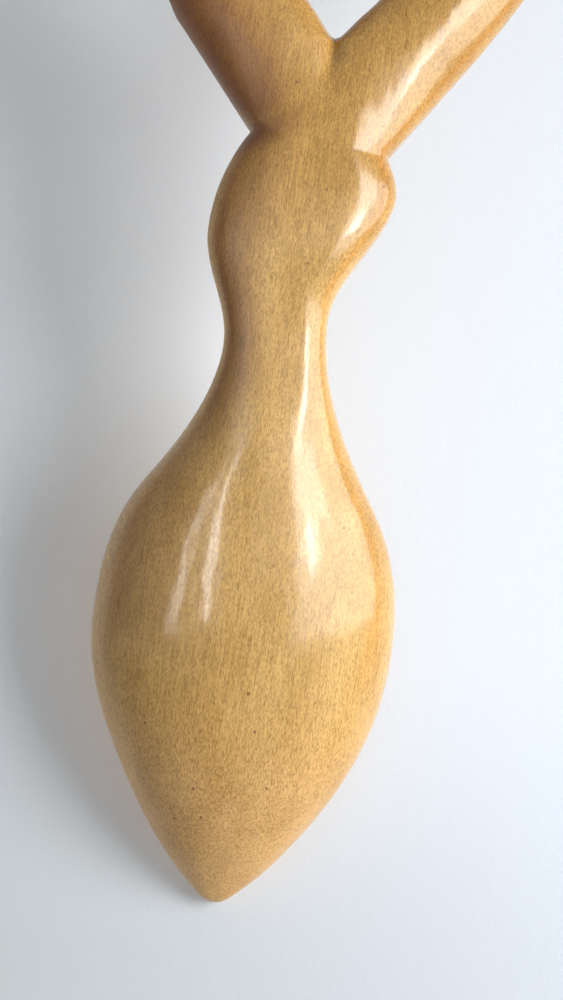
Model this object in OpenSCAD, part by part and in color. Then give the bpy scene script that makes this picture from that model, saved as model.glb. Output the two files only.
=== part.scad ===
// Love spoon carved from one board of pale wood: leaf bowl, neck, knop and an open heart on top.
// +Z runs up the spoon as it hangs, and -Y is its front, where the bowl is hollow.
// The origin is the middle of the hanging hole. Heights are measured from the bowl's tip, and
// reaches are measured sideways from the upright middle line, to the right as seen from the front.

/* [Bowl] */
// Width of the blunt tip
tip_w = 2.4; // [2:0.1:4]
// Lean of the bowl's edges from upright at the tip, in degrees
tip_lean = 51.5; // [44:0.5:56]
// Width of the bowl low on its flanks
flank_w = 31; // [27:0.2:35]
// Height where the flanks are measured
flank_z = 16; // [13:0.5:19]
// How far the flanks lie to the right of the middle line
flank_shift = 0.3; // [-2:0.1:2]
// Lean of the flanks there, in degrees
flank_lean = 33.5; // [28:0.5:38]
// Width of the bowl at its widest place
belly_w = 55.2; // [48:0.2:60]
// Height of the widest place
belly_z = 49.5; // [45:0.5:54]
// How far the belly lies to the right of the middle line
belly_shift = 1.6; // [-3:0.1:3]
// Width at the shoulders, where the bowl runs in to the neck
shoulder_w = 41.6; // [38:0.2:45]
// Height of the shoulders
shoulder_z = 75.5; // [72:0.5:79]
// How far the shoulders lie to the right of the middle line
shoulder_shift = 2.1; // [-3:0.1:3]
// Lean of the shoulders, in degrees
shoulder_lean = 34; // [28:0.5:38]
// Length of the bowl, from its tip to the cut where the neck starts
bowl_l = 84; // [82:0.5:90]

/* [Bowl depth] */
// Depth of the bowl, from the rim to the roundest place on its back
bowl_depth = 18.6; // [16:0.1:22]
// Height of the roundest place
crest_z = 46; // [40:0.5:54]
// Thickness of the blunt tip
tip_t = 3; // [2.8:0.1:4.5]
// Rise of the back where it leaves the tip, in degrees
tip_rise = 42; // [34:0.5:48]
// How far the rim lies in front of the handle's middle plane
rim_y = 6; // [5:0.1:7]
// Depth over which the rim's outer edge is rounded
rim_round = 2.4; // [1.6:0.1:2.6]
// Width of the lip that is left round the hollow
lip_w = 3.2; // [2.4:0.1:4.5]
// Depth of the hollow at its deepest place
hollow_depth = 13.6; // [9:0.1:13.8]
// Height where the hollow starts above the tip
hollow_low_z = 5; // [4.5:0.5:10]
// How far the hollow's rounded upper end stays below the neck
hollow_end = 4; // [3:0.5:10]
// Height of the arch that rounds its upper end
hollow_arch = 10; // [5:0.5:11]

/* [Neck] */
// Length of the neck, from the bowl's cut to the knop's
neck_l = 26; // [24:0.5:30]
// Reach of the neck on its right, at its narrowest
neck_right = 12.3; // [10:0.1:14]
// Height of that reach above the neck's lower cut
neck_right_up = 17.5; // [13:0.5:21]
// Reach of the neck on its left, at its narrowest
neck_left = 5.9; // [5:0.1:9]
// Height of that reach above the neck's lower cut
neck_left_up = 24; // [16:0.5:25]
// Thickness of the neck
neck_t = 15; // [12:0.2:17]
// Height of the thinnest place above the neck's lower cut
neck_thin_up = 19; // [14:0.5:22]
// Squareness of the neck's section: 2 is an ellipse, and more has flatter faces
neck_squareness = 4; // [2:0.2:5]

/* [Knop] */
// Length of the knop, from the neck's cut to the fork's
knop_l = 26; // [24:0.5:30]
// Reach of the knop on its right
knop_right = 18; // [15:0.1:20]
// Height of that reach above the knop's lower cut
knop_right_up = 11.5; // [8:0.5:15]
// Reach of the knop on its left
knop_left = 15.2; // [14:0.1:18]
// Height of that reach above the knop's lower cut
knop_left_up = 22; // [16:0.5:23]
// Thickness of the knop
knop_t = 18.6; // [16:0.2:21]
// Height of the thickest place above the knop's lower cut
knop_thick_up = 13; // [10:0.5:16]
// Squareness of the knop's section: 2 is an ellipse, and more has flatter faces
knop_squareness = 4.2; // [2:0.2:5]

/* [Fork] */
// Length of the fork, from the knop's cut to the crotch between the arms
fork_l = 22.8; // [20:0.2:27]
// Reach of the notch under the right arm
notch_right = 12.8; // [12:0.1:14.5]
// Height of that notch above the fork's lower cut
notch_right_up = 4; // [3:0.5:7]
// Lean of the knop's edge as it runs in to that notch, in degrees
notch_lean_right = 31; // [15:0.5:36]
// Reach of the notch under the left arm
notch_left = 12.6; // [12:0.1:13.6]
// Height of that notch above the fork's lower cut
notch_left_up = 2.5; // [1.5:0.5:5]
// Lean of the knop's edge as it runs in to that notch, in degrees
notch_lean_left = 21; // [10:0.5:30]
// Lean of the fork's right edge above its notch, in degrees
flare_right = 41; // [37:0.5:43]
// Lean of the fork's left edge above its notch, in degrees
flare_left = 33.5; // [31:0.5:41]
// Thickness of the web at the bottom of the crotch
crotch_t = 9; // [4:0.2:11]
// How far the inside of each arm draws back to round the crotch
crotch_open = 1.4; // [0.5:0.1:2.5]

/* [Heart] */
// Lean of the right arm from upright where it leaves the fork, in degrees
arm_lean_right = 34.5; // [31:0.5:38]
// Lean of the left arm from upright where it leaves the fork, in degrees
arm_lean_left = 33; // [31:0.5:38]
// Thickness of the arms where they leave the fork
arm_t = 16; // [14:0.2:18]
// Width of the strand over the lobes
lobe_w = 17.6; // [15:0.2:20]
// Thickness of the strand over the lobes
lobe_t = 14.4; // [12:0.2:16]
// Radius of a lobe along the middle of its strand
lobe_r = 19; // [18:0.5:21]
// Distance of a lobe's centre from the middle line
lobe_x = 17.5; // [17:0.5:20]
// Height of the lobes' centres above the crotch
lobe_up = 47.2; // [43:0.2:53]
// Turn of a lobe from its outermost place to the crown, in degrees
lobe_turn = 112; // [106:1:116]
// How far the cleft on top of the crown lies below the top of the lobes' strand
cleft_drop = 7; // [6:0.2:9]
// How far the point inside the heart hangs below the lobes' centres
point_drop = 3; // [0:0.2:8]

/* [Hanging hole] */
// Radius of the hanging hole
hole_r = 2.5; // [1.5:0.1:3]
// How far the middle of the hole lies below the cleft
hole_drop = 11; // [9:0.2:12.5]

/* [Hidden] */
wood = [0.86, 0.67, 0.41];

bowl_top_z = bowl_l;
neck_top_z = bowl_top_z + neck_l;
knop_top_z = neck_top_z + knop_l;
crotch_z = knop_top_z + fork_l;
lobe_z = crotch_z + lobe_up;
hollow_corner_z = bowl_top_z - hollow_end - hollow_arch;
neck_z = bowl_top_z + neck_thin_up;
notch_right_z = knop_top_z + notch_right_up;
notch_left_z = knop_top_z + notch_left_up;
cleft_z = lobe_z + lobe_r + lobe_w / 2 - cleft_drop;
hole_z = cleft_z - hole_drop;
point_z = lobe_z - point_drop;

roundness = 2.2;      // of the bowl and the heart: 2 is an ellipse, and more is squarer
rim_squareness = 6;   // how flat the bowl's front is, up to its rounded edge
back_sides = 14;      // flat sides round the back of a section
hollow_sides = 8;     // flat sides across the front of a section, inside the lip
rim_steps = [0.05, 0.25, 0.6];  // points over the lip, as shares of its width
outer_sides = 5;      // flat sides on each quarter of a strand, on the outside of the heart
inner_sides = 4;      // and on the inside
fork_quarter = outer_sides + inner_sides;
inner_flat = 0.12;    // flat left along the inside of a strand, as a share of its thickness
arm_pull = 0.58;      // how long an arm keeps its lean, as a share of its span
lobe_pull = 0.22;     // how long it runs upright below its lobe, as a share of its span

// Stations of the outline on each side, as height, reach and sideways slope
right_edge = [
    [0, tip_w / 2, tan(tip_lean)],
    [flank_z, flank_w / 2 + flank_shift, tan(flank_lean)],
    [belly_z, belly_w / 2 + belly_shift, 0],
    [shoulder_z, shoulder_w / 2 + shoulder_shift, -tan(shoulder_lean)],
    [bowl_top_z + neck_right_up, neck_right, 0],
    [neck_top_z + knop_right_up, knop_right, 0],
    [notch_right_z, notch_right, -tan(notch_lean_right)]];
left_edge = [
    [0, tip_w / 2, tan(tip_lean)],
    [flank_z, flank_w / 2 - flank_shift, tan(flank_lean)],
    [belly_z, belly_w / 2 - belly_shift, 0],
    [shoulder_z, shoulder_w / 2 - shoulder_shift, -tan(shoulder_lean)],
    [bowl_top_z + neck_left_up, neck_left, 0],
    [neck_top_z + knop_left_up, knop_left, 0],
    [notch_left_z, notch_left, -tan(notch_lean_left)]];

// Stations of the depth, as height, distance behind the middle plane and slope
back_face = [
    [0, tip_t - rim_y, tan(tip_rise)],
    [crest_z, bowl_depth - rim_y, 0],
    [neck_z, neck_t / 2, 0],
    [neck_top_z + knop_thick_up, knop_t / 2, 0],
    [crotch_z, arm_t / 2, 0]];
front_face = [
    [0, -rim_y, 0],
    [shoulder_z, -rim_y, 0],
    [neck_z, -neck_t / 2, 0],
    [neck_top_z + knop_thick_up, -knop_t / 2, 0],
    [crotch_z, -arm_t / 2, 0]];
widest_plane = [
    [0, rim_round - rim_y, 0],
    [belly_z, rim_round - rim_y, 0],
    [neck_z, 0, 0],
    [crotch_z, 0, 0]];
back_shape = [
    [bowl_top_z, roundness, 0],
    [neck_z, neck_squareness, 0],
    [neck_top_z + knop_thick_up, knop_squareness, 0],
    [crotch_z, roundness, 0]];
front_shape = [
    [0, rim_squareness, 0],
    [shoulder_z, rim_squareness, 0],
    [neck_z, neck_squareness, 0],
    [neck_top_z + knop_thick_up, knop_squareness, 0],
    [crotch_z, roundness, 0]];

// Value at height z of the smooth curve through the stations
function along(stations, z) =
    let (last = len(stations) - 1,
         i = min(last - 1, max([for (k = [0:last]) if (k == 0 || stations[k][0] <= z) k])),
         a = stations[i], b = stations[i + 1],
         span = b[0] - a[0],
         t = min(1, max(0, (z - a[0]) / span)))
    a[1] * (2 * pow(t, 3) - 3 * pow(t, 2) + 1) + b[1] * (3 * pow(t, 2) - 2 * pow(t, 3))
    + span * (a[2] * (pow(t, 3) - 2 * pow(t, 2) + t) + b[2] * (pow(t, 3) - pow(t, 2)));

// Above its notch an edge runs straight up the fork
function right_reach(z) = z > notch_right_z
    ? notch_right + (z - notch_right_z) * tan(flare_right) : along(right_edge, z);
function left_reach(z) = z > notch_left_z
    ? notch_left + (z - notch_left_z) * tan(flare_left) : along(left_edge, z);

// Height of a rounded shape of half-width 1 at the place u across it
function swell(u, n) = pow(max(0, 1 - pow(abs(u), n)), 1 / n);
function signed_pow(v, n) = sign(v) * pow(abs(v), n);
function steps(from, to, n) = [for (k = [0:n]) from + (to - from) * k / n];

// Where height z lies in the hollow, from -1 at its low end through 0 at the crest to 1 at its corners
function hollow_place(z) = z < crest_z
    ? max(-1, (z - crest_z) / (crest_z - hollow_low_z))
    : min(1, (z - crest_z) / (hollow_corner_z - crest_z));

// How much higher the middle of the front lies than its sides, so that the hollow ends in an arch
function lift(z) = hollow_arch * max(0, z < hollow_corner_z
    ? (z - crest_z) / (hollow_corner_z - crest_z)
    : (bowl_top_z - z) / (bowl_top_z - hollow_corner_z));

// One section of the bowl, neck or knop: round the back, then over the lip and the front
function section(z) =
    let (r = right_reach(z), l = left_reach(z),
         half = (r + l) / 2, middle = (r - l) / 2,
         spread = (right_reach(z + 0.1) + left_reach(z + 0.1)) / 2 - half,
         plane = along(widest_plane, z),
         behind = along(back_face, z) - plane,
         before = plane - along(front_face, z),
         n = along(front_shape, z),
         inner = max(half / 4, half - lip_w * norm([1, spread / 0.1])),
         deep = hollow_depth * swell(hollow_place(z), roundness),
         raised = lift(z),
         rim = [for (s = rim_steps) half - (half - inner) * s],
         front = [for (x = rim) plane - before * swell(x / half, n)],
         last = len(rim) - 1)
    concat(
        [for (a = steps(0, 180, back_sides))
            let (p = 2 / along(back_shape, z))
            [middle + half * signed_pow(cos(a), p), plane + behind * pow(sin(a), p), z]],
        [for (k = [0:last]) [middle - rim[k], front[k], z]],
        [for (x = steps(-inner, inner, hollow_sides))
            let (hollow = deep * swell(x / inner, roundness))
            [middle + x, plane - before * swell(x / half, n) + hollow,
             z + raised * (1 - pow(x / inner, 2))]],
        [for (k = [last:-1:0]) [middle + rim[k], front[k], z]]);

// Closed solid through rings of points that all have the same count and run anticlockwise from above.
// A top that isn't convex is given in parts, as lists of places in the last ring
module loft(rings, tops) {
    n = len(rings[0]);
    last = (len(rings) - 1) * n;
    polyhedron(
        [for (ring = rings) each ring],
        concat(
            [[for (j = [0:n - 1]) j]],
            [for (i = [0:len(rings) - 2]) for (j = [0:n - 1])
                let (k = (j + 1) % n) [i * n + j, (i + 1) * n + j, (i + 1) * n + k, i * n + k]],
            [for (top = is_undef(tops) ? [[for (j = [n - 1:-1:0]) j]] : tops) [for (j = top) last + j]]));
}

module from_hole() {
    translate([0, 0, -hole_z]) children();
}

module trunk(heights) {
    color(wood) from_hole() loft([for (z = heights) section(z)]);
}

module bowl() {
    low = hollow_low_z;
    corner = hollow_corner_z;
    trunk(concat(
        [0, low * 0.3, low * 0.7, low],
        [for (s = [0.02, 0.06, 0.12, 0.2]) low + (crest_z - low) * s],
        steps(low + (crest_z - low) * 0.3, crest_z, 6),
        [for (s = [0.2, 0.4, 0.6, 0.75, 0.87, 0.95, 1]) crest_z + (corner - crest_z) * s],
        steps(corner + (bowl_top_z - corner) / 3, bowl_top_z, 2)));
}

module neck() {
    trunk(steps(bowl_top_z, neck_top_z, 7));
}

module knop() {
    trunk(steps(neck_top_z, knop_top_z, 9));
}

// Half a section of the fork, or a whole section of a strand: across from -1 inside to 1 outside and
// deep from -1 in front to 1 behind. It is thickest at the place crest, and flat inside over a share web
function strand_shape(crest, web, squareness = roundness) =
    let (p = 2 / squareness,
         inside = [for (a = steps(90, 0, inner_sides))
             [crest - (1 + crest) * pow(sin(a), p), web + (1 - web) * pow(cos(a), p)]],
         outside = [for (a = steps(90, 0, outer_sides))
             [crest + (1 - crest) * pow(cos(a), p), pow(sin(a), p)]])
    concat(
        [for (q = inside) [q[0], -q[1]]],
        [for (k = [1:outer_sides]) [outside[k][0], -outside[k][1]]],
        [for (k = [outer_sides - 1:-1:0]) outside[k]],
        [for (k = [inner_sides - 1:-1:0]) inside[k]]);

// A section of a strand between a point inside the heart and a point outside it
function strand_section(inside, outside, thick, web) =
    [for (q = strand_shape(0, web))
        let (x = (inside + outside) / 2 + q[0] * (outside - inside) / 2)
        [x[0], q[1] * thick / 2, x[1]]];

// A level section of the fork, whose two halves part towards the crotch. It starts outermost on the
// right and goes round the back
function fork_section(z) =
    let (up = (z - knop_top_z) / (crotch_z - knop_top_z),
         r = right_reach(z), l = left_reach(z),
         thick = along(back_face, z) - along(front_face, z),
         web = 1 - (1 - crotch_t / arm_t) * pow(up, 3),
         shape = strand_shape(-0.7 * (1 - up), web, along(back_shape, z)),
         right = [for (q = shape) [r * (1 + q[0]) / 2, q[1] * thick / 2, z]],
         left = [for (q = shape) [-l * (1 + q[0]) / 2, q[1] * thick / 2, z]],
         last = len(shape) - 1)
    concat(
        [for (k = [fork_quarter:last]) right[k]],
        [for (k = [last - 1:-1:1]) left[k]],
        [for (k = [0:fork_quarter - 1]) right[k]]);

module fork() {
    notches = [min(notch_left_z, notch_right_z), max(notch_left_z, notch_right_z)];
    heights = concat(
        [knop_top_z, notches[0], notches[1]], steps(notches[1] + (crotch_z - notches[1]) / 5, crotch_z, 4));
    behind = fork_quarter;
    before = 3 * fork_quarter;
    right_top = [for (j = [behind:-1:0]) j, for (j = [4 * fork_quarter - 1:-1:before]) j];
    left_top = [for (j = [before:-1:behind]) j];
    color(wood) from_hole() loft([for (z = heights) fork_section(z)], [right_top, left_top]);
}

// Middle line of an arm from the fork (0) to its lobe (1), as a curve that leaves both straight on
function arm_middle(reach, lean, s) =
    let (from = [reach / 2, crotch_z], to = [lobe_x + lobe_r, lobe_z],
         span = norm(to - from),
         a = from + arm_pull * span * [sin(lean), cos(lean)], b = to - [0, lobe_pull * span])
    pow(1 - s, 3) * from + 3 * pow(1 - s, 2) * s * a + 3 * (1 - s) * s * s * b + pow(s, 3) * to;

// The first section is level, as the fork's top is, and they soon turn square to the arm
function arm_section(reach, lean, s) =
    let (ahead = arm_middle(reach, lean, s + 0.01) - arm_middle(reach, lean, s - 0.01),
         heading = atan2(ahead[0], ahead[1]),
         turned = min(1, s / 0.35),
         tilt = heading * (3 - 2 * turned) * turned * turned,
         root_w = reach * cos(lean),
         half = (root_w + (lobe_w - root_w) * s) / 2 / cos(heading - tilt),
         opened = crotch_open * (1 - s) * (1 - pow(max(0, 1 - s / 0.08), 2)),
         out = [cos(tilt), -sin(tilt)],
         web = inner_flat + (crotch_t / arm_t - inner_flat) * pow(max(0, 1 - s / 0.25), 2),
         middle = arm_middle(reach, lean, s))
    strand_section(middle - (half - opened) * out, middle + half * out, arm_t + (lobe_t - arm_t) * s, web);

module arm(reach, lean) {
    places = concat([0, 0.04, 0.08, 0.13, 0.19, 0.26, 0.35], steps(0.45, 1, 5));
    color(wood) from_hole() loft([for (s = places) arm_section(reach, lean, s)]);
}

module right_arm() {
    arm(right_reach(crotch_z), arm_lean_right);
}

module left_arm() {
    mirror([1, 0, 0]) arm(left_reach(crotch_z), arm_lean_left);
}

// A point on a lobe, at a turn from its outermost place and a distance outside its strand's middle
function lobe_point(turn, out) = [lobe_x, lobe_z] + (lobe_r + out) * [cos(turn), sin(turn)];

module right_lobe() {
    color(wood) from_hole() loft([for (turn = steps(0, lobe_turn, 12))
        strand_section(lobe_point(turn, -lobe_w / 2), lobe_point(turn, lobe_w / 2), lobe_t, inner_flat)]);
}

module left_lobe() {
    mirror([1, 0, 0]) right_lobe();
}

// A curve that leaves a lobe's end straight on and reaches the middle line at a height
function crown_edge(out, length, z, s) =
    let (from = lobe_point(lobe_turn, out), to = [0, z],
         a = from + length * [-sin(lobe_turn), cos(lobe_turn)])
    pow(1 - s, 2) * from + 2 * (1 - s) * s * a + s * s * to;

function crown_section(s, side) =
    let (inside = crown_edge(-lobe_w / 2, 9, point_z, s),
         outside = crown_edge(lobe_w / 2, 4.5, cleft_z, s))
    strand_section([side * inside[0], inside[1]], [side * outside[0], outside[1]], lobe_t, inner_flat);

module crown() {
    color(wood) difference() {
        from_hole() loft(concat(
            [for (s = steps(0, 1, 5)) crown_section(s, 1)],
            [for (s = steps(0.8, 0, 4)) crown_section(s, -1)]));
        rotate([90, 0, 0]) cylinder(r = hole_r, h = 2 * lobe_t, center = true, $fn = 64);
    }
}

bowl();
neck();
knop();
fork();
left_arm();
right_arm();
left_lobe();
right_lobe();
crown();
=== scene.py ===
import math
import bmesh
import bpy
from mathutils import Matrix, Vector


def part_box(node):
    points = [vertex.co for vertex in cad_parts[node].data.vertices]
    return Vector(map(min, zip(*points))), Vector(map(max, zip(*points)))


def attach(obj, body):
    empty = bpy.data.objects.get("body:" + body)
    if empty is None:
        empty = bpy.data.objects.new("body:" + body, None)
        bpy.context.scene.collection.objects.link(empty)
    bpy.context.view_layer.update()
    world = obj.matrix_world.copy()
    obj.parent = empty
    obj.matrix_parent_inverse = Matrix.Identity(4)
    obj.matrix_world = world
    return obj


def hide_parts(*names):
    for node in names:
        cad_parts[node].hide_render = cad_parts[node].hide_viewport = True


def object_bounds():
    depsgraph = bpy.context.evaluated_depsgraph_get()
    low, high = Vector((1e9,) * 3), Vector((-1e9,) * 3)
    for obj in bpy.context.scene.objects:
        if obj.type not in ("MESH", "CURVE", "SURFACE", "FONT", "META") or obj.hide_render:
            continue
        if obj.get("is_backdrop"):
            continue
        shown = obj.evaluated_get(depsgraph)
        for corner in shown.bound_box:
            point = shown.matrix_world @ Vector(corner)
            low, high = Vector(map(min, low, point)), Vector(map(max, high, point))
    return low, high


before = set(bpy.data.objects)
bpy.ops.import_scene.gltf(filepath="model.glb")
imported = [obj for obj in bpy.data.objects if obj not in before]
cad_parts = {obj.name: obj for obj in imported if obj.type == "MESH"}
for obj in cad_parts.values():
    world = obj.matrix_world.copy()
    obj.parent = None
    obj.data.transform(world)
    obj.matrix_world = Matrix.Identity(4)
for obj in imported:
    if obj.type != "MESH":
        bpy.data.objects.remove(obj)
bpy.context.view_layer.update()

# A carved love spoon, seen from its back. One smooth skin covers the solid sections of the carving.
# Lengths are metres. +Z runs up the spoon, +Y out of its back, +X to the right as seen from the front.

scene = bpy.context.scene

bowlLow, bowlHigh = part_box("bowl")
knopLow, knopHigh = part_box("knop")
lobeLow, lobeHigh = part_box("right_lobe")
tipZ, bowlTop, neckTop, knopTop = bowlLow.z, bowlHigh.z, knopLow.z, knopHigh.z
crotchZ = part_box("fork")[1].z
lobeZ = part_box("right_arm")[1].z
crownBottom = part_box("crown")[0].z
lobeThickness = lobeHigh.y - lobeLow.y


# Small helpers for shapes
def along(stations, z):
    # height of the smooth curve through (place, value, slope) stations
    i = max(k for k in range(len(stations) - 1) if k == 0 or stations[k][0] <= z)
    (z0, v0, m0), (z1, v1, m1) = stations[i], stations[i + 1]
    span = z1 - z0
    t = min(1, max(0, (z - z0) / span))
    rise = 3 * t**2 - 2 * t**3
    return v0 + (v1 - v0) * rise + span * (m0 * (t**3 - 2 * t**2 + t) + m1 * (t**3 - t**2))


def swell(u, power):
    return max(0, 1 - abs(u) ** power) ** (1 / power)


def signedPower(value, power):
    return math.copysign(abs(value) ** power, value)


def lean(degrees):
    return math.tan(math.radians(degrees))


def mixed(a, b, t):
    return a + (b - a) * t


def ease(t):
    t = min(1, max(0, t))
    return t * t * (3 - 2 * t)


# What a carver would change: the bowl
bowl = {
    "tipWidth": 0.0024, "tipLean": 51.5, "tipThickness": 0.003, "tipRise": 42,
    "flankUp": 0.016, "flankWidth": 0.031, "flankShift": 0.0003, "flankLean": 33.5,
    "bellyUp": 0.0495, "crestUp": 0.046,
    "shoulderUp": 0.0755, "shoulderWidth": 0.0416, "shoulderShift": 0.0021, "shoulderLean": 34,
    "rimRound": 0.0024, "rimSquareness": 6, "lipWidth": 0.0032,
    "hollowDepth": 0.0136, "hollowLowUp": 0.005, "hollowEnd": 0.004, "hollowArch": 0.010,
}
# The neck, the knop and the fork, with heights above the lower end of each
handle = {
    "neckRight": 0.0123, "neckRightUp": 0.0175, "neckLeft": 0.0059, "neckLeftUp": 0.024,
    "neckThickness": 0.015, "neckThinUp": 0.019, "neckSquareness": 4, "knopSquareness": 4.2,
    "knopRightUp": 0.0115, "knopLeftUp": 0.022, "knopThickness": 0.0186, "knopThickUp": 0.013,
    "notchRight": 0.0128, "notchRightUp": 0.004, "notchRightLean": 31, "rightFlare": 41,
    "notchLeft": 0.0126, "notchLeftUp": 0.0025, "notchLeftLean": 21, "leftFlare": 33.5,
    "crotchWeb": 0.009, "crotchSag": 0.0008,
}
# The open heart
heart = {
    "rightLean": 34.5, "leftLean": 33, "armThickness": 0.016, "crotchOpen": 0.0014,
    "armPull": 0.58, "lobePull": 0.22, "insidePull": 0.009, "outsidePull": 0.0045,
    "lobeWidth": 0.0176, "lobeRadius": 0.019, "lobeTurn": 112,
    "cleftUp": 0.011, "holeRadius": 0.0025, "holeBevel": 0.0006, "holeDepth": 0.0014,
}
roundness = 2.2   # of the sections: 2 is an ellipse, and more is squarer
ringCount = 32    # places round the trunk
strandCount = 20  # places round each strand of the heart

shoulderZ = tipZ + bowl["shoulderUp"]
crestZ = tipZ + bowl["crestUp"]
neckThinZ = bowlTop + handle["neckThinUp"]
cornerZ = bowlTop - bowl["hollowEnd"] - bowl["hollowArch"]
notchRightZ = knopTop + handle["notchRightUp"]
notchLeftZ = knopTop + handle["notchLeftUp"]

rightEdge = [
    (tipZ, bowl["tipWidth"] / 2, lean(bowl["tipLean"])),
    (tipZ + bowl["flankUp"], bowl["flankWidth"] / 2 + bowl["flankShift"], lean(bowl["flankLean"])),
    (tipZ + bowl["bellyUp"], bowlHigh.x, 0),
    (shoulderZ, bowl["shoulderWidth"] / 2 + bowl["shoulderShift"], -lean(bowl["shoulderLean"])),
    (bowlTop + handle["neckRightUp"], handle["neckRight"], 0),
    (neckTop + handle["knopRightUp"], knopHigh.x, 0),
    (notchRightZ, handle["notchRight"], -lean(handle["notchRightLean"])),
]
leftEdge = [
    (tipZ, bowl["tipWidth"] / 2, lean(bowl["tipLean"])),
    (tipZ + bowl["flankUp"], bowl["flankWidth"] / 2 - bowl["flankShift"], lean(bowl["flankLean"])),
    (tipZ + bowl["bellyUp"], -bowlLow.x, 0),
    (shoulderZ, bowl["shoulderWidth"] / 2 - bowl["shoulderShift"], -lean(bowl["shoulderLean"])),
    (bowlTop + handle["neckLeftUp"], handle["neckLeft"], 0),
    (neckTop + handle["knopLeftUp"], -knopLow.x, 0),
    (notchLeftZ, handle["notchLeft"], -lean(handle["notchLeftLean"])),
]
backFace = [
    (tipZ, bowlLow.y + bowl["tipThickness"], lean(bowl["tipRise"])),
    (crestZ, bowlHigh.y, 0),
    (neckThinZ, handle["neckThickness"] / 2, 0),
    (neckTop + handle["knopThickUp"], handle["knopThickness"] / 2, 0),
    (crotchZ, heart["armThickness"] / 2, 0),
]
frontFace = [
    (tipZ, bowlLow.y, 0),
    (shoulderZ, bowlLow.y, 0),
    (neckThinZ, -handle["neckThickness"] / 2, 0),
    (neckTop + handle["knopThickUp"], -handle["knopThickness"] / 2, 0),
    (crotchZ, -heart["armThickness"] / 2, 0),
]
squareness = [
    (bowlTop, roundness, 0),
    (neckThinZ, handle["neckSquareness"], 0),
    (neckTop + handle["knopThickUp"], handle["knopSquareness"], 0),
    (crotchZ, roundness, 0),
]
widestPlane = [
    (tipZ, bowlLow.y + bowl["rimRound"], 0),
    (tipZ + bowl["bellyUp"], bowlLow.y + bowl["rimRound"], 0),
    (neckThinZ, 0, 0),
    (crotchZ, 0, 0),
]


def rightReach(z):
    if z > notchRightZ:
        return handle["notchRight"] + (z - notchRightZ) * lean(handle["rightFlare"])
    return along(rightEdge, z)


def leftReach(z):
    if z > notchLeftZ:
        return handle["notchLeft"] + (z - notchLeftZ) * lean(handle["leftFlare"])
    return along(leftEdge, z)


def forkShape(step, crest, web, square):
    # one quarter of a parting fork: from its outer edge (0) over its crest (5) to the middle (8)
    power = 2 / square
    if step <= 5:
        turn = math.radians(18 * step)
        return crest + (1 - crest) * math.cos(turn) ** power, math.sin(turn) ** power
    turn = math.radians(30 * (step - 5))
    return crest - (1 + crest) * math.sin(turn) ** power, web + (1 - web) * abs(math.cos(turn)) ** power


def bowlColumn(step, half, inner):
    # places across the front of the bowl, from the outer edge (0) over the lip (3) to the middle (8)
    if step <= 3:
        return half - (half - inner) * (0, 0.12, 0.72, 1)[step]
    return inner * math.cos(math.radians(18 * (step - 3)))


def trunkRing(z, skew=0):
    # places round the spoon at a height, with its right edge higher than its left by the skew,
    # each with how far out it lies: 1 on the outer edge, 0 in the middle, -1 inside the heart
    right, left = rightReach(z + skew / 2), leftReach(z - skew / 2)
    half, middle = (right + left) / 2, (right - left) / 2
    spread = (rightReach(z + 0.0001) + leftReach(z + 0.0001) - rightReach(z) - leftReach(z)) / 0.0002
    plane = along(widestPlane, z)
    back, front = along(backFace, z), along(frontFace, z)
    behind, before = back - plane, plane - front
    inner = max(half / 4, half - bowl["lipWidth"] * math.hypot(1, spread))
    lowPart = z < crestZ
    farEnd = tipZ + bowl["hollowLowUp"] if lowPart else cornerZ
    deep = bowl["hollowDepth"] * swell(min(1, (z - crestZ) / (farEnd - crestZ)), roundness)
    rising = (z - crestZ) / (cornerZ - crestZ) if z < cornerZ else (bowlTop - z) / (bowlTop - cornerZ)
    raised = bowl["hollowArch"] * max(0, rising)
    rounded = ease((z - shoulderZ) / (neckThinZ - shoulderZ))
    up = (z - knopTop) / (crotchZ - knopTop)
    parting = ease((z - notchLeftZ) / (crotchZ - notchLeftZ))
    web = 1 - (1 - handle["crotchWeb"] / heart["armThickness"]) * max(0, up) ** 3
    square = along(squareness, z)
    power = 2 / square
    places = []
    for k in range(ringCount):
        turn = 2 * math.pi * k / ringCount
        x = half * signedPower(math.cos(turn), power)
        y = plane + (behind if k <= 16 else before) * signedPower(math.sin(turn), power)
        outward = abs(x) / half
        lift = 0
        if k > 16 and rounded < 1:
            side, step = (-1, k - 16) if k < 24 else (1, 32 - k)
            column = side * bowlColumn(step, half, inner)
            depth = deep * swell(column / inner, roundness) if abs(column) < inner else 0
            x = mixed(column, x, rounded)
            outward = abs(x) / half
            y = mixed(plane - before * swell(column / half, bowl["rimSquareness"]) + depth, y, rounded)
            if step >= 3:
                lift = raised * (1 - (column / inner) ** 2)
        if parting > 0:
            side = 1 if k <= 8 or k >= 24 else -1
            step = min(k % 16, 16 - k % 16)
            u, v = forkShape(step, -0.7 * (1 - up), web, square)
            reach = right if side > 0 else left
            x = mixed(x + middle, side * reach * (1 + u) / 2, parting) - middle
            y = mixed(y, math.copysign(v, math.sin(turn)) * back if step else 0, parting)
            outward = mixed(outward, u, parting)
        places.append((Vector((x + middle, y, z + lift + skew / 2 * x / half)), outward))
    return places


def armMiddle(reach, leaning, s):
    # middle line of the right arm, or of the left one mirrored, from the fork (0) to its lobe (1)
    start = Vector((reach / 2, crotchZ))
    end = Vector((lobeHigh.x - heart["lobeWidth"] / 2, lobeZ))
    span = (end - start).length
    turn = math.radians(leaning)
    a = start + heart["armPull"] * span * Vector((math.sin(turn), math.cos(turn)))
    b = end - Vector((0, heart["lobePull"] * span))
    return (1 - s) ** 3 * start + 3 * (1 - s) ** 2 * s * a + 3 * (1 - s) * s**2 * b + s**3 * end


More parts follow.
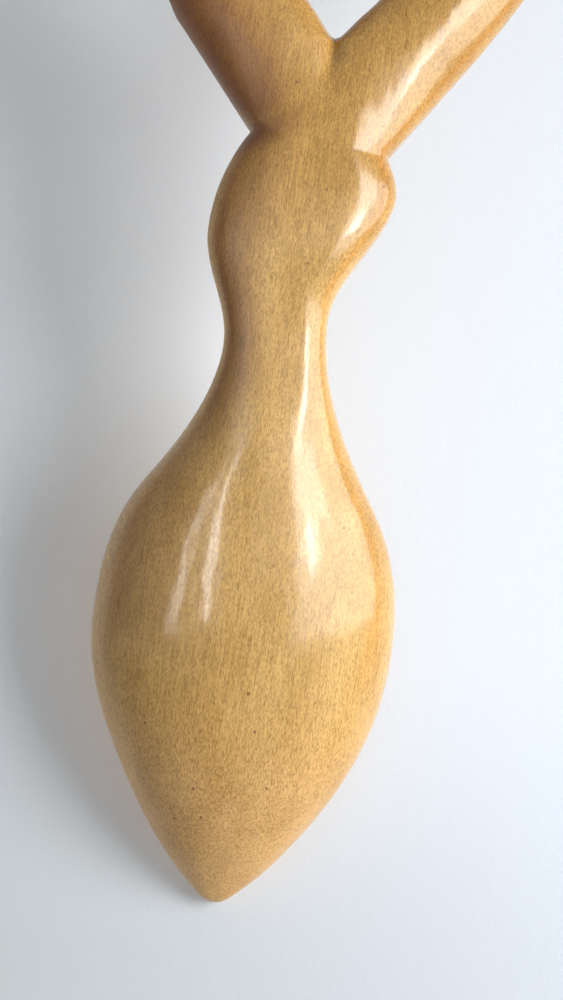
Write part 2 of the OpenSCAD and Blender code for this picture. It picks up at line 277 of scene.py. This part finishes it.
def strandRing(side, inside, outside, thickness, rootShare=0):
    # places round a strand between a point inside the heart and one outside it
    places = []
    web = handle["crotchWeb"] / heart["armThickness"]
    for k in range(strandCount):
        turn = 2 * math.pi * k / strandCount
        u = signedPower(math.cos(turn), 2 / roundness)
        v = signedPower(math.sin(turn), 2 / roundness)
        if rootShare:
            step = min(k, strandCount - k)
            rootU, rootV = forkShape(min(step, 8), 0, web, roundness)
            rootV *= (1, 0.5, 0)[max(0, step - 8)]
            u, v = mixed(u, rootU, rootShare), mixed(v, math.copysign(rootV, v), rootShare)
        point = (inside + outside) / 2 + (outside - inside) / 2 * u
        places.append((Vector((side * point.x, v * thickness / 2, point.y)), u))
    return places


def armRing(side, s):
    reach = rightReach(crotchZ) if side > 0 else leftReach(crotchZ)
    leaning = heart["rightLean"] if side > 0 else heart["leftLean"]
    ahead = armMiddle(reach, leaning, s + 0.01) - armMiddle(reach, leaning, s - 0.01)
    heading = math.atan2(ahead.x, ahead.y)
    tilt = heading * ease(s / 0.35)
    rootWidth = reach * math.cos(math.radians(leaning))
    half = mixed(rootWidth, heart["lobeWidth"], s) / 2 / math.cos(heading - tilt)
    opened = heart["crotchOpen"] * (1 - s) * (1 - max(0, 1 - s / 0.08) ** 2)
    out = Vector((math.cos(tilt), -math.sin(tilt)))
    middle = armMiddle(reach, leaning, s)
    thickness = mixed(heart["armThickness"], lobeThickness, s)
    rootShare = max(0, 1 - s / 0.3)
    return strandRing(side, middle - (half - opened) * out, middle + half * out, thickness, rootShare)


def lobePoint(turnDegrees, out):
    turn = math.radians(turnDegrees)
    radius = heart["lobeRadius"] + out
    centre = lobeHigh.x - heart["lobeWidth"] / 2 - heart["lobeRadius"]
    return Vector((centre + radius * math.cos(turn), lobeZ + radius * math.sin(turn)))


def lobeRing(side, turnDegrees):
    out = heart["lobeWidth"] / 2
    return strandRing(side, lobePoint(turnDegrees, -out), lobePoint(turnDegrees, out), lobeThickness)


def crownEdge(out, length, endZ, s):
    start, end = lobePoint(heart["lobeTurn"], out), Vector((0, endZ))
    turn = math.radians(heart["lobeTurn"])
    pull = start + length * Vector((-math.sin(turn), math.cos(turn)))
    return (1 - s) ** 2 * start + 2 * (1 - s) * s * pull + s * s * end


def crownRing(side, s):
    out = heart["lobeWidth"] / 2
    inside = crownEdge(-out, heart["insidePull"], crownBottom, s)
    outside = crownEdge(out, heart["outsidePull"], heart["cleftUp"], s)
    return strandRing(side, inside, outside, lobeThickness)


def nextRing(bm, ring, places):
    # extrudes a closed ring of vertices and puts the new one in place
    outwards = bm.verts.layers.float["outward"]
    edges = [bm.edges.get((ring[k - 1], ring[k])) for k in range(len(ring))]
    made = bmesh.ops.extrude_edge_only(bm, edges=edges)["geom"]
    fresh = {v for v in made if isinstance(v, bmesh.types.BMVert)}
    following = [next(e.other_vert(v) for e in v.link_edges if e.other_vert(v) in fresh) for v in ring]
    for v, (place, outward) in zip(following, places):
        v.co = place
        v[outwards] = outward
    return following


def spoonSkin():
    bm = bmesh.new()
    bm.edges.layers.float.new("crease_edge")
    bm.verts.layers.float.new("outward")
    notchZ = (notchRightZ + notchLeftZ) / 2
    notchSkew = notchRightZ - notchLeftZ
    skewReach = 0.014

    def skewAt(z):
        return notchSkew * max(0, 1 - abs(z - notchZ) / skewReach)

    low = tipZ + bowl["hollowLowUp"]
    heights = [tipZ + up for up in (0.0009, 0.0022, 0.0038)]
    heights += [low, low + 0.0012]
    heights += [mixed(low, crestZ, s) for s in (0.09, 0.18, 0.29, 0.41, 0.54, 0.68, 0.84, 1)]
    heights += [mixed(crestZ, cornerZ, s) for s in (0.22, 0.42, 0.6, 0.75, 0.87, 0.955, 1)]
    heights += [cornerZ + 0.0012]
    heights += [mixed(cornerZ, knopTop, s) for s in
                (0.06, 0.12, 0.19, 0.26, 0.33, 0.4, 0.47, 0.54, 0.61, 0.68, 0.75, 0.82, 0.88, 0.94)]
    heights += [notchZ - 0.0035, notchZ - 0.0013, notchZ, notchZ + 0.0013, notchZ + 0.0038]
    heights += [mixed(notchZ, crotchZ, s) for s in (0.36, 0.54, 0.7, 0.84, 0.94)]

    first = bmesh.ops.create_circle(bm, segments=ringCount, radius=0.001)["verts"]
    tipRing = [place for place, outward in trunkRing(tipZ)]
    tipMiddle = sum(tipRing, Vector()) / ringCount
    for v, place in zip(first, tipRing):
        v.co = mixed(tipMiddle, place, 0.62)
    bmesh.ops.contextual_create(bm, geom=first)  # closes the blunt tip
    ring = first
    for z in heights:
        ring = nextRing(bm, ring, trunkRing(z, skewAt(z)))
        if z == notchZ:
            notch = ring
    top = trunkRing(crotchZ)
    for k, sag in ((8, 1), (24, 1), (7, 0.45), (9, 0.45), (23, 0.45), (25, 0.45)):
        top[k][0].z -= handle["crotchSag"] * sag
    ring = nextRing(bm, ring, top)
    print("trunk carved,", len(bm.verts), "places")

    webs = []
    for share in (0.5, 0, -0.5):
        place = Vector((0, handle["crotchWeb"] / 2 * share, crotchZ - handle["crotchSag"] * 0.4))
        webs.append(bmesh.ops.create_vert(bm, co=place)["vert"][0])
    for a, b in zip([ring[8]] + webs, webs + [ring[24]]):
        bm.edges.new((a, b))
    roots = {
        1: ring[0:9] + webs + ring[24:32],
        -1: ring[16:7:-1] + webs + ring[24:16:-1],
    }
    ends = {}
    for side in (1, -1):
        ring = roots[side]
        for s in (0.035, 0.075, 0.12, 0.175, 0.24, 0.31, 0.39, 0.48, 0.57, 0.66, 0.75, 0.84, 0.92, 1):
            ring = nextRing(bm, ring, armRing(side, s))
        turns = 11
        for k in range(turns):
            ring = nextRing(bm, ring, lobeRing(side, heart["lobeTurn"] * (k + 1) / turns))
        for s in (0.3, 0.55, 0.78):
            before = ring = nextRing(bm, ring, crownRing(side, s))
        ends[side] = nextRing(bm, ring, crownRing(side, 1)), before
    right, left = ends[1][0], ends[-1][0]
    bmesh.ops.weld_verts(bm, targetmap=dict(zip(left, right)))
    drillHole(bm, right, ends[1][1], ends[-1][1])
    crease = bm.edges.layers.float["crease_edge"]
    for k in (-2, -1, 0, 1, 2, 3, 14, 15, 16, 17, 18, 19):  # the sharp notches under the arms
        bm.edges.get((notch[k - 1], notch[k]))[crease] = 0.3 if k % 16 in (3, 14) else 0.6
    bmesh.ops.recalc_face_normals(bm, faces=bm.faces)
    fillOut(bm)
    return bm


def fillOut(bm):
    # the smoothing draws a surface in from its places, so each is moved out by as much
    crease = bm.edges.layers.float["crease_edge"]
    inner = [v for v in bm.verts if all(len(f.verts) == 4 for f in v.link_faces)
             and not any(e[crease] > 0 for e in v.link_edges)
             and (v.co.z > bowlTop or v.co.y > along(widestPlane, v.co.z) - 0.0002)]
    aims = {v: v.co.copy() for v in inner}
    for step in range(3):
        moves = {}
        for v in inner:
            n = len(v.link_edges)
            near = [e.other_vert(v) for e in v.link_edges]
            far = [u for f in v.link_faces for u in f.verts if u != v and u not in near]
            pulled = 4 * sum((u.co for u in near), Vector()) + sum((u.co for u in far), Vector())
            moves[v] = aims[v] - (n * n * v.co + pulled) / (n * (n + 5))
        for v, move in moves.items():
            v.co += move


def drillHole(bm, middle, rightSide, leftSide):
    # opens the crown round its middle, behind and in front, and joins the two mouths
    quarter = strandCount // 4
    mouths = []
    for behind, at in ((1, quarter), (-1, 3 * quarter)):
        loop = [middle[at - behind], rightSide[at - behind], rightSide[at], rightSide[at + behind],
                middle[at + behind], leftSide[at + behind], leftSide[at], leftSide[at - behind]]
        surface = middle[at].co.y
        bmesh.ops.dissolve_verts(bm, verts=[middle[at]])
        face = next(f for f in loop[0].link_faces if loop[4] in f.verts)
        radius, bevel = heart["holeRadius"], heart["holeBevel"]
        sizes = ((radius + bevel * 1.6, 0), (radius + bevel / 2, bevel / 2), (radius, heart["holeDepth"]))
        for k, (size, sunk) in enumerate(sizes):
            if k:
                bmesh.ops.inset_individual(bm, faces=[face], thickness=bevel / 2)
                loop = [next(e.other_vert(v) for e in v.link_edges if e.other_vert(v) in face.verts)
                        for v in loop]
            for n, v in enumerate(loop):
                turn = math.pi / 4 * n
                v.co = (size * math.sin(turn), surface - behind * sunk, size * math.cos(turn))
        mouths.append((face, loop))
    loops = [e for face, loop in mouths for e in face.edges]
    bmesh.ops.delete(bm, geom=[face for face, loop in mouths], context="FACES_ONLY")
    bmesh.ops.bridge_loops(bm, edges=loops)


def meshPiece(name, bm, subdivisions=0):
    mesh = bpy.data.meshes.new(name)
    bm.to_mesh(mesh)
    bm.free()
    mesh.polygons.foreach_set("use_smooth", [True] * len(mesh.polygons))
    piece = bpy.data.objects.new(name, mesh)
    scene.collection.objects.link(piece)
    if subdivisions:
        rounding = piece.modifiers.new("rounding", "SUBSURF")
        rounding.levels = rounding.render_levels = subdivisions
    return piece


spoon = meshPiece("carved_spoon", spoonSkin(), 2)
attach(spoon, "root")
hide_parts("bowl", "neck", "knop", "fork", "left_arm", "right_arm",
            "left_lobe", "right_lobe", "crown")
print("skin made")


# Materials
class Shade:
    # one output of a shader node: a sum on it adds a Math node
    def __init__(self, tree, socket=None):
        self.tree = tree
        self.socket = socket

    def node(self, kind, settings, values, output=0):
        made = self.tree.nodes.new(kind)
        for name, value in settings.items():
            setattr(made, name, value)
        for name, value in values.items():
            if isinstance(value, Shade):
                self.tree.links.new(value.socket, made.inputs[name])
            else:
                made.inputs[name].default_value = value
        return Shade(self.tree, made.outputs[output])

    def maths(self, operation, a, b):
        return self.node("ShaderNodeMath", {"operation": operation}, {0: a, 1: b})

    def __add__(self, other):
        return self.maths("ADD", self, other)

    def __radd__(self, other):
        return self.maths("ADD", other, self)

    def __sub__(self, other):
        return self.maths("SUBTRACT", self, other)

    def __mul__(self, other):
        return self.maths("MULTIPLY", self, other)

    def stepped(self, low, high):
        # 0 below low and 1 above high, or the other way round, with a soft change between
        flip = low > high
        values = {"Value": self, "From Min": min(low, high), "From Max": max(low, high),
                  "To Min": 1 if flip else 0, "To Max": 0 if flip else 1}
        return self.node("ShaderNodeMapRange", {"interpolation_type": "SMOOTHSTEP"}, values)

    def noise(self, width, length, detail=2, offset=(0, 0, 0)):
        # patches this wide and this long along the grain, in metres
        values = {"Vector": self, "Location": offset, "Scale": (1 / width, 1 / width, 1 / length)}
        stretched = self.node("ShaderNodeMapping", {}, values)
        return self.node("ShaderNodeTexNoise", {}, {"Vector": stretched, "Scale": 1, "Detail": detail})

    def mix(self, factor, a, b, blend="MIX"):
        # a colour between a and b
        settings = {"data_type": "RGBA", "blend_type": blend}
        return self.node("ShaderNodeMix", settings, {0: factor, 6: a, 7: b}, 2)


# What a finisher would change: the wood and its varnish
finish = {
    "pale": (0.88, 0.55, 0.185, 1), "honey": (0.7, 0.395, 0.1, 1),
    "fleck": (0.5, 0.41, 0.26, 1), "gleam": (1.22, 1.25, 1.35, 1), "olive": (0.85, 0.82, 0.7, 1),
    "rose": (1.03, 0.98, 1.1, 1), "warm": (0.84, 0.77, 0.6, 1), "amberEdgeShade": (1, 0.74, 0.4, 1),
    "leftShadeTint": (0.42, 0.31, 0.12, 1), "brownStainAndShade": (0.47, 0.3, 0.07, 1), "speck": (0.35, 0.25, 0.2, 1),
    "fleckWidth": 0.00018, "fleckLength": 0.0007, "bandWidth": 0.0045, "bandLength": 0.06,
    "mottleWidth": 0.007, "mottleLength": 0.014, "wobbleWidth": 0.0032, "wobbleLength": 0.008,
    "specksPerMetre": 170, "bumpDepth": 0.000006,
    "roughness": 0.125, "worn": 0.3, "coatWeight": 0.3, "coatRoughness": 0.38,
}


def varnishedWood():
    material = bpy.data.materials.new("varnishedWood")
    material.use_nodes = True
    tree = material.node_tree
    shade = Shade(tree)
    place = shade.node("ShaderNodeTexCoord", {}, {}, "Object")
    outward = shade.node("ShaderNodeAttribute", {"attribute_name": "outward"}, {}, "Fac")
    apart = shade.node("ShaderNodeSeparateXYZ", {}, {0: place}, "X")
    height = shade.node("ShaderNodeSeparateXYZ", {}, {0: place}, "Z")

    fibres = place.noise(finish["fleckWidth"], finish["fleckLength"], 4)
    streaks = place.noise(finish["fleckWidth"] * 1.6, finish["fleckLength"] * 8, 2, (7, 3, 1))
    bands = place.noise(finish["bandWidth"], finish["bandLength"], 3, (2, 5, 0))
    mottle = place.noise(finish["mottleWidth"], finish["mottleLength"], 4, (4, 1, 8))
    wobble = place.noise(finish["wobbleWidth"], finish["wobbleLength"], 1, (1, 9, 4))

    colour = shade.mix(bands * 0.8 + streaks * 0.8 - 0.3, finish["honey"], finish["pale"])
    colour = shade.mix(mottle.stepped(0.42, 0.66) * 0.8, colour, finish["olive"], "MULTIPLY")
    grain = fibres * 0.6 + streaks * 0.4
    colour = shade.mix(grain.stepped(0.4, 0.7), colour, finish["fleck"], "MULTIPLY")
    colour = shade.mix(grain.stepped(0.52, 0.26), colour, finish["gleam"], "MULTIPLY")

    # rosier towards the tip and warmer up the handle; painted shade in an amber band just inside the
    # edges of the upper half, and painted shade along the side on the camera's left, away from the light
    rosier = height.stepped(crestZ + 0.002, tipZ + 0.014)
    colour = shade.mix(rosier, colour, finish["rose"], "MULTIPLY")
    warmer = height.stepped(neckTop + 0.004, knopTop)
    colour = shade.mix(warmer, colour, finish["warm"], "MULTIPLY")
    inward = outward.stepped(0.98, 0.82)
    aboveCrest = height.stepped(crestZ - 0.008, crestZ + 0.008)
    # painted shade: a darker amber band just inside the edges of the upper half, short of the very edge
    edgeBandShade = outward.stepped(0.74, 0.88) * inward * aboveCrest
    colour = shade.mix(edgeBandShade * 0.65, colour, finish["amberEdgeShade"], "MULTIPLY")
    upper = height.stepped(bowlTop - 0.006, bowlTop + 0.016)
    upper = upper * height.stepped(knopTop + 0.004, neckTop + 0.01)
    # painted shade along the side on the camera's left, below the fork and strongest on the neck, where
    # it faces away from the light
    leftSideShade = (outward + upper * 0.13).stepped(0.1, 0.75) * apart.stepped(-0.001, 0.005)
    leftSideShade = leftSideShade * height.stepped(knopTop + 0.006, knopTop) * inward
    leftSideShade = leftSideShade * (upper * 0.5 + aboveCrest * 0.28 + 0.14)
    colour = shade.mix(leftSideShade, colour, finish["leftShadeTint"], "MULTIPLY")
    # and a brown stain along one arm, partly a stain and partly painted shade, with painted shade in the
    # crease of its notch
    stainAndShade = outward.stepped(-0.6, 0.6) * height.stepped(notchLeftZ - 0.001, notchLeftZ + 0.006)
    stainAndShade = stainAndShade * apart.stepped(0.003, 0.012)
    # painted shade in the crease under the arm, at its notch
    slope = 0.46
    crease = height + apart * slope - (notchLeftZ + handle["notchLeft"] * slope)
    crease = crease.stepped(-0.0045, 0) * crease.stepped(0.006, 0.0005) * apart.stepped(-0.0005, 0.01)
    stainAndShade = shade.maths("MAXIMUM", stainAndShade, crease * 0.9)
    colour = shade.mix(stainAndShade, colour, finish["brownStainAndShade"], "MULTIPLY")

    dots = {"Vector": place, "Scale": finish["specksPerMetre"], "Randomness": 1}
    specks = shade.node("ShaderNodeTexVoronoi", {}, dots, "Distance").stepped(0.06, 0.035)
    colour = shade.mix(specks * 0.8, colour, finish["speck"], "MULTIPLY")

    worn = height.stepped(bowlTop - 0.003, bowlTop + 0.005) * apart.stepped(-0.004, 0.012)
    worn = worn + height.stepped(crestZ + 0.001, crestZ - 0.008) * 0.5
    roughness = finish["roughness"] + fibres * 0.12 + mottle * 0.1 - 0.1 + worn * finish["worn"]
    relief = fibres + wobble * 16 + streaks * 1.2
    bumpInputs = {"Strength": 1, "Distance": finish["bumpDepth"], "Height": relief}
    bump = shade.node("ShaderNodeBump", {}, bumpInputs)

    principled = tree.nodes["Principled BSDF"]
    principled.inputs["IOR"].default_value = 1.5
    principled.inputs["Coat Weight"].default_value = finish["coatWeight"]
    principled.inputs["Coat Roughness"].default_value = finish["coatRoughness"]
    tree.links.new(colour.socket, principled.inputs["Base Color"])
    tree.links.new(roughness.socket, principled.inputs["Roughness"])
    tree.links.new(bump.socket, principled.inputs["Normal"])
    return material


spoon.data.materials.append(varnishedWood())
print("wood varnished")

# The photographer's side: the paper behind the spoon, the camera and the lights
studio = {
    "lens": 110, "sensor": 36, "pixelsPerMetre": 5505, "lean": 8.06,
    "tipPixel": (213, 902), "photoSize": (563, 1000),
    "paperLean": 15, "paperBelow": 0.024, "paperCurve": 0.06, "paperTop": 0.45, "paperHalf": 0.5,
    "floorReach": 0.3, "paperBright": (0.84, 0.9, 0.99, 1), "paperDim": (0.89, 0.95, 1, 1),
    "paperLow": (0.7, 0.68, 0.65, 1), "paperFar": (0.42, 0.43, 0.45, 1), "paperGlow": 0.14,
    "paperGrain": 0.0012, "paperBump": 0.00006, "glowColour": (0.94, 0.97, 1, 1),
    "skyColour": (0.97, 0.985, 1, 1), "skyStrength": 0.26, "backgroundStrength": 0.65,
    "panelWidth": 0.26, "panelHeight": 0.24, "panelUp": 0.0004, "panelGap": 0.0004,
    "panelBrightness": 0.38,
}
# Each light: degrees right of the camera, distance, width, low and high edge above the tip, tilt,
# brightness and colour. The first gives the light, and the others only show as shine.
lamps = {
    "softLight": (56, 0.55, 0.36, -0.08, 0.28, 0, 8.8, (0.95, 0.975, 1)),
    "window": (54, 0.23, 0.3, 0.038, 0.19, 0, 4.4, (0.97, 0.99, 1)),
    "windowCore": (30.5, 0.21, 0.024, 0.09, 0.12, 0, 19, (0.97, 0.99, 1)),
    "windowUpper": (35.5, 0.21, 0.085, 0.12, 0.185, 0, 5.5, (0.97, 0.99, 1)),
    "sheen": (13, 0.25, 0.09, 0.095, 0.165, 0, 1.1, (0.95, 0.98, 1)),
    "stripInner": (-12.5, 0.18, 0.0046, 0.068, 0.142, 0, 36, (1, 0.99, 0.96)),
    "stripOuter": (-26, 0.18, 0.0042, 0.056, 0.15, -22, 20, (1, 0.99, 0.96)),
}


def placed(right, up, back, point):
    # a matrix that looks from the point against its back direction
    matrix = Matrix((right, up, back)).transposed().to_4x4()
    matrix.translation = point
    return matrix


def linked(name, data):
    piece = bpy.data.objects.new(name, data)
    scene.collection.objects.link(piece)
    return piece


turn = math.radians(studio["lean"])
imageRight = Vector((-math.cos(turn), 0, math.sin(turn)))
imageUp = Vector((math.sin(turn), 0, math.cos(turn)))
toCamera = imageRight.cross(imageUp)
distance = studio["lens"] / studio["sensor"] * studio["photoSize"][1] / studio["pixelsPerMetre"]
tipScale = studio["pixelsPerMetre"] * distance / (distance - bowlLow.y - bowl["tipThickness"] / 2)
rightOfTip = (studio["photoSize"][0] / 2 - studio["tipPixel"][0]) / tipScale
aboveTip = (studio["tipPixel"][1] - studio["photoSize"][1] / 2) / tipScale
aim = Vector((0, 0, tipZ)) + imageRight * rightOfTip + imageUp * aboveTip

cameraData = bpy.data.cameras.new("camera")
cameraData.lens = studio["lens"]
cameraData.sensor_width = studio["sensor"]
cameraData.clip_start = 0.01
camera = linked("camera", cameraData)
camera.matrix_world = placed(imageRight, imageUp, toCamera, aim + toCamera * distance)
scene.camera = camera

# A broad dim panel lies just before the paper and lights the side of the spoon that faces the paper.
panelWidth, panelHeight = studio["panelWidth"], studio["panelHeight"]
paperDown = Vector((0, lean(studio["paperLean"]), -1)).normalized()
paperNormal = Vector((0, 1, lean(studio["paperLean"]))).normalized()
panel = bpy.data.lights.new("frontPanel", "AREA")
panel.shape = "RECTANGLE"
panel.size, panel.size_y = panelWidth, panelHeight
panel.energy = math.pi * panelWidth * panelHeight * studio["panelBrightness"]
panelObject = linked("frontPanel", panel)
point = Vector((0, bowlLow.y, tipZ)) + paperNormal * studio["panelGap"]
point -= paperDown * (studio["panelUp"] + panelHeight / 2)
panelObject.matrix_world = placed(paperDown.cross(paperNormal), -paperDown, -paperNormal, point)
panelObject.visible_camera = panelObject.visible_glossy = False

for name, (azimuth, away, width, low, high, tilt, brightness, colour) in lamps.items():
    azimuth = math.radians(azimuth)
    towards = imageRight * math.sin(azimuth) + toCamera * math.cos(azimuth)
    up = (Matrix.Rotation(math.radians(tilt), 3, towards) @ imageUp).normalized()
    lamp = bpy.data.lights.new(name, "AREA")
    lamp.shape = "RECTANGLE"
    lamp.size, lamp.size_y = width, high - low
    lamp.energy = math.pi * width * (high - low) * brightness
    lamp.color = colour
    lampObject = linked(name, lamp)
    point = Vector((0, 0, tipZ)) + imageUp * (low + high) / 2 + towards * away
    lampObject.matrix_world = placed(up.cross(towards), up, towards, point)
    lampObject.visible_camera = False
    lampObject.visible_glossy = name != "softLight"
    lampObject.visible_diffuse = name == "softLight"


def paperSheet():
    # a profile drawn down behind the spoon and forward over the floor, then swept across
    bm = bmesh.new()
    slope = math.radians(studio["paperLean"])
    down = Vector((0, math.sin(slope), -math.cos(slope)))
    tip = Vector((0, bowlLow.y, tipZ))
    radius = studio["paperCurve"]
    bend = tip + down * studio["paperBelow"]
    centre = bend + Vector((0, math.cos(slope), math.sin(slope))) * radius
    points = [tip - down * studio["paperTop"], bend]
    steps = 12
    for k in range(1, steps + 1):
        angle = math.pi + slope + (math.pi / 2 - slope) * k / steps
        points.append(centre + Vector((0, math.cos(angle), math.sin(angle))) * radius)
    points.append(points[-1] + Vector((0, studio["floorReach"], 0)))
    aside = Vector((studio["paperHalf"], 0, 0))
    line = [bmesh.ops.create_vert(bm, co=p - aside)["vert"][0] for p in points]
    edges = [bm.edges.new(pair) for pair in zip(line, line[1:])]
    swept = bmesh.ops.extrude_edge_only(bm, edges=edges)["geom"]
    fresh = [v for v in swept if isinstance(v, bmesh.types.BMVert)]
    bmesh.ops.translate(bm, verts=fresh, vec=2 * aside)
    for face in bm.faces:
        face.normal_update()
    if sum((f.normal for f in bm.faces), Vector()).y < 0:
        bmesh.ops.reverse_faces(bm, faces=bm.faces)
    return bm


def rayShare(shade):
    # 1 where the camera looks, straight, by a reflection or through glass, and 0 for light
    path = [shade.node("ShaderNodeLightPath", {}, {}, "Is %s Ray" % kind)
            for kind in ("Camera", "Glossy", "Transmission")]
    return shade.maths("MAXIMUM", shade.maths("MAXIMUM", path[0], path[1]), path[2])


def paper():
    # seen from its front only, so that it hides the spoon from no side
    material = bpy.data.materials.new("paper")
    material.use_nodes = True
    tree = material.node_tree
    shade = Shade(tree)
    place = shade.node("ShaderNodeTexCoord", {}, {}, "Object")
    grain = place.noise(studio["paperGrain"], studio["paperGrain"], 3)
    leftwards = shade.node("ShaderNodeSeparateXYZ", {}, {0: place}, "X")
    height = shade.node("ShaderNodeSeparateXYZ", {}, {0: place}, "Z")
    # The paper's colour paints light and shade: lighter on the camera's left, where the spoon's shadow
    # falls, and darker low down, more so on the left. It is also darker far to the side and in front.
    dimmer = leftwards.stepped(-0.09, 0.07)
    colour = shade.mix(dimmer, studio["paperBright"], studio["paperDim"])
    lower = height.stepped(tipZ + 0.06, tipZ - 0.02) * (dimmer * 0.45 + 0.55)
    colour = shade.mix(lower, colour, studio["paperLow"], "MULTIPLY")
    forward = shade.node("ShaderNodeSeparateXYZ", {}, {0: place}, "Y")
    far = shade.maths("MAXIMUM", leftwards.stepped(-0.1, -0.22), forward.stepped(0.05, 0.2))
    colour = shade.mix(far, colour, studio["paperFar"], "MULTIPLY")
    behind = shade.node("ShaderNodeNewGeometry", {}, {}, "Backfacing")
    clear = shade.node("ShaderNodeBsdfTransparent", {}, {})
    principled = tree.nodes["Principled BSDF"]
    tree.links.new(colour.socket, principled.inputs["Base Color"])
    principled.inputs["Roughness"].default_value = 0.9
    principled.inputs["Specular IOR Level"].default_value = 0.2
    bumpInputs = {"Strength": 1, "Distance": studio["paperBump"], "Height": grain}
    bump = shade.node("ShaderNodeBump", {}, bumpInputs)
    tree.links.new(bump.socket, principled.inputs["Normal"])
    glow = shade.node("ShaderNodeEmission", {}, {"Color": studio["glowColour"], "Strength": 1})
    seen = rayShare(shade) * studio["paperGlow"]
    lit = shade.node("ShaderNodeMixShader", {}, {0: seen, 1: Shade(tree, principled.outputs[0]), 2: glow})
    sides = shade.node("ShaderNodeMixShader", {}, {0: behind, 1: lit, 2: clear})
    tree.links.new(sides.socket, tree.nodes["Material Output"].inputs["Surface"])
    return material


sheet = meshPiece("paper", paperSheet())
sheet.data.materials.append(paper())
sheet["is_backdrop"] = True

world = bpy.data.worlds.new("daylight")
scene.world = world
world.use_nodes = True
sky = Shade(world.node_tree)
strength = rayShare(sky) * (studio["backgroundStrength"] - studio["skyStrength"]) + studio["skyStrength"]
background = world.node_tree.nodes["Background"]
background.inputs["Color"].default_value = studio["skyColour"]
world.node_tree.links.new(strength.socket, background.inputs["Strength"])
scene.view_settings.view_transform = "Standard"
print("studio lit")

low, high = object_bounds()
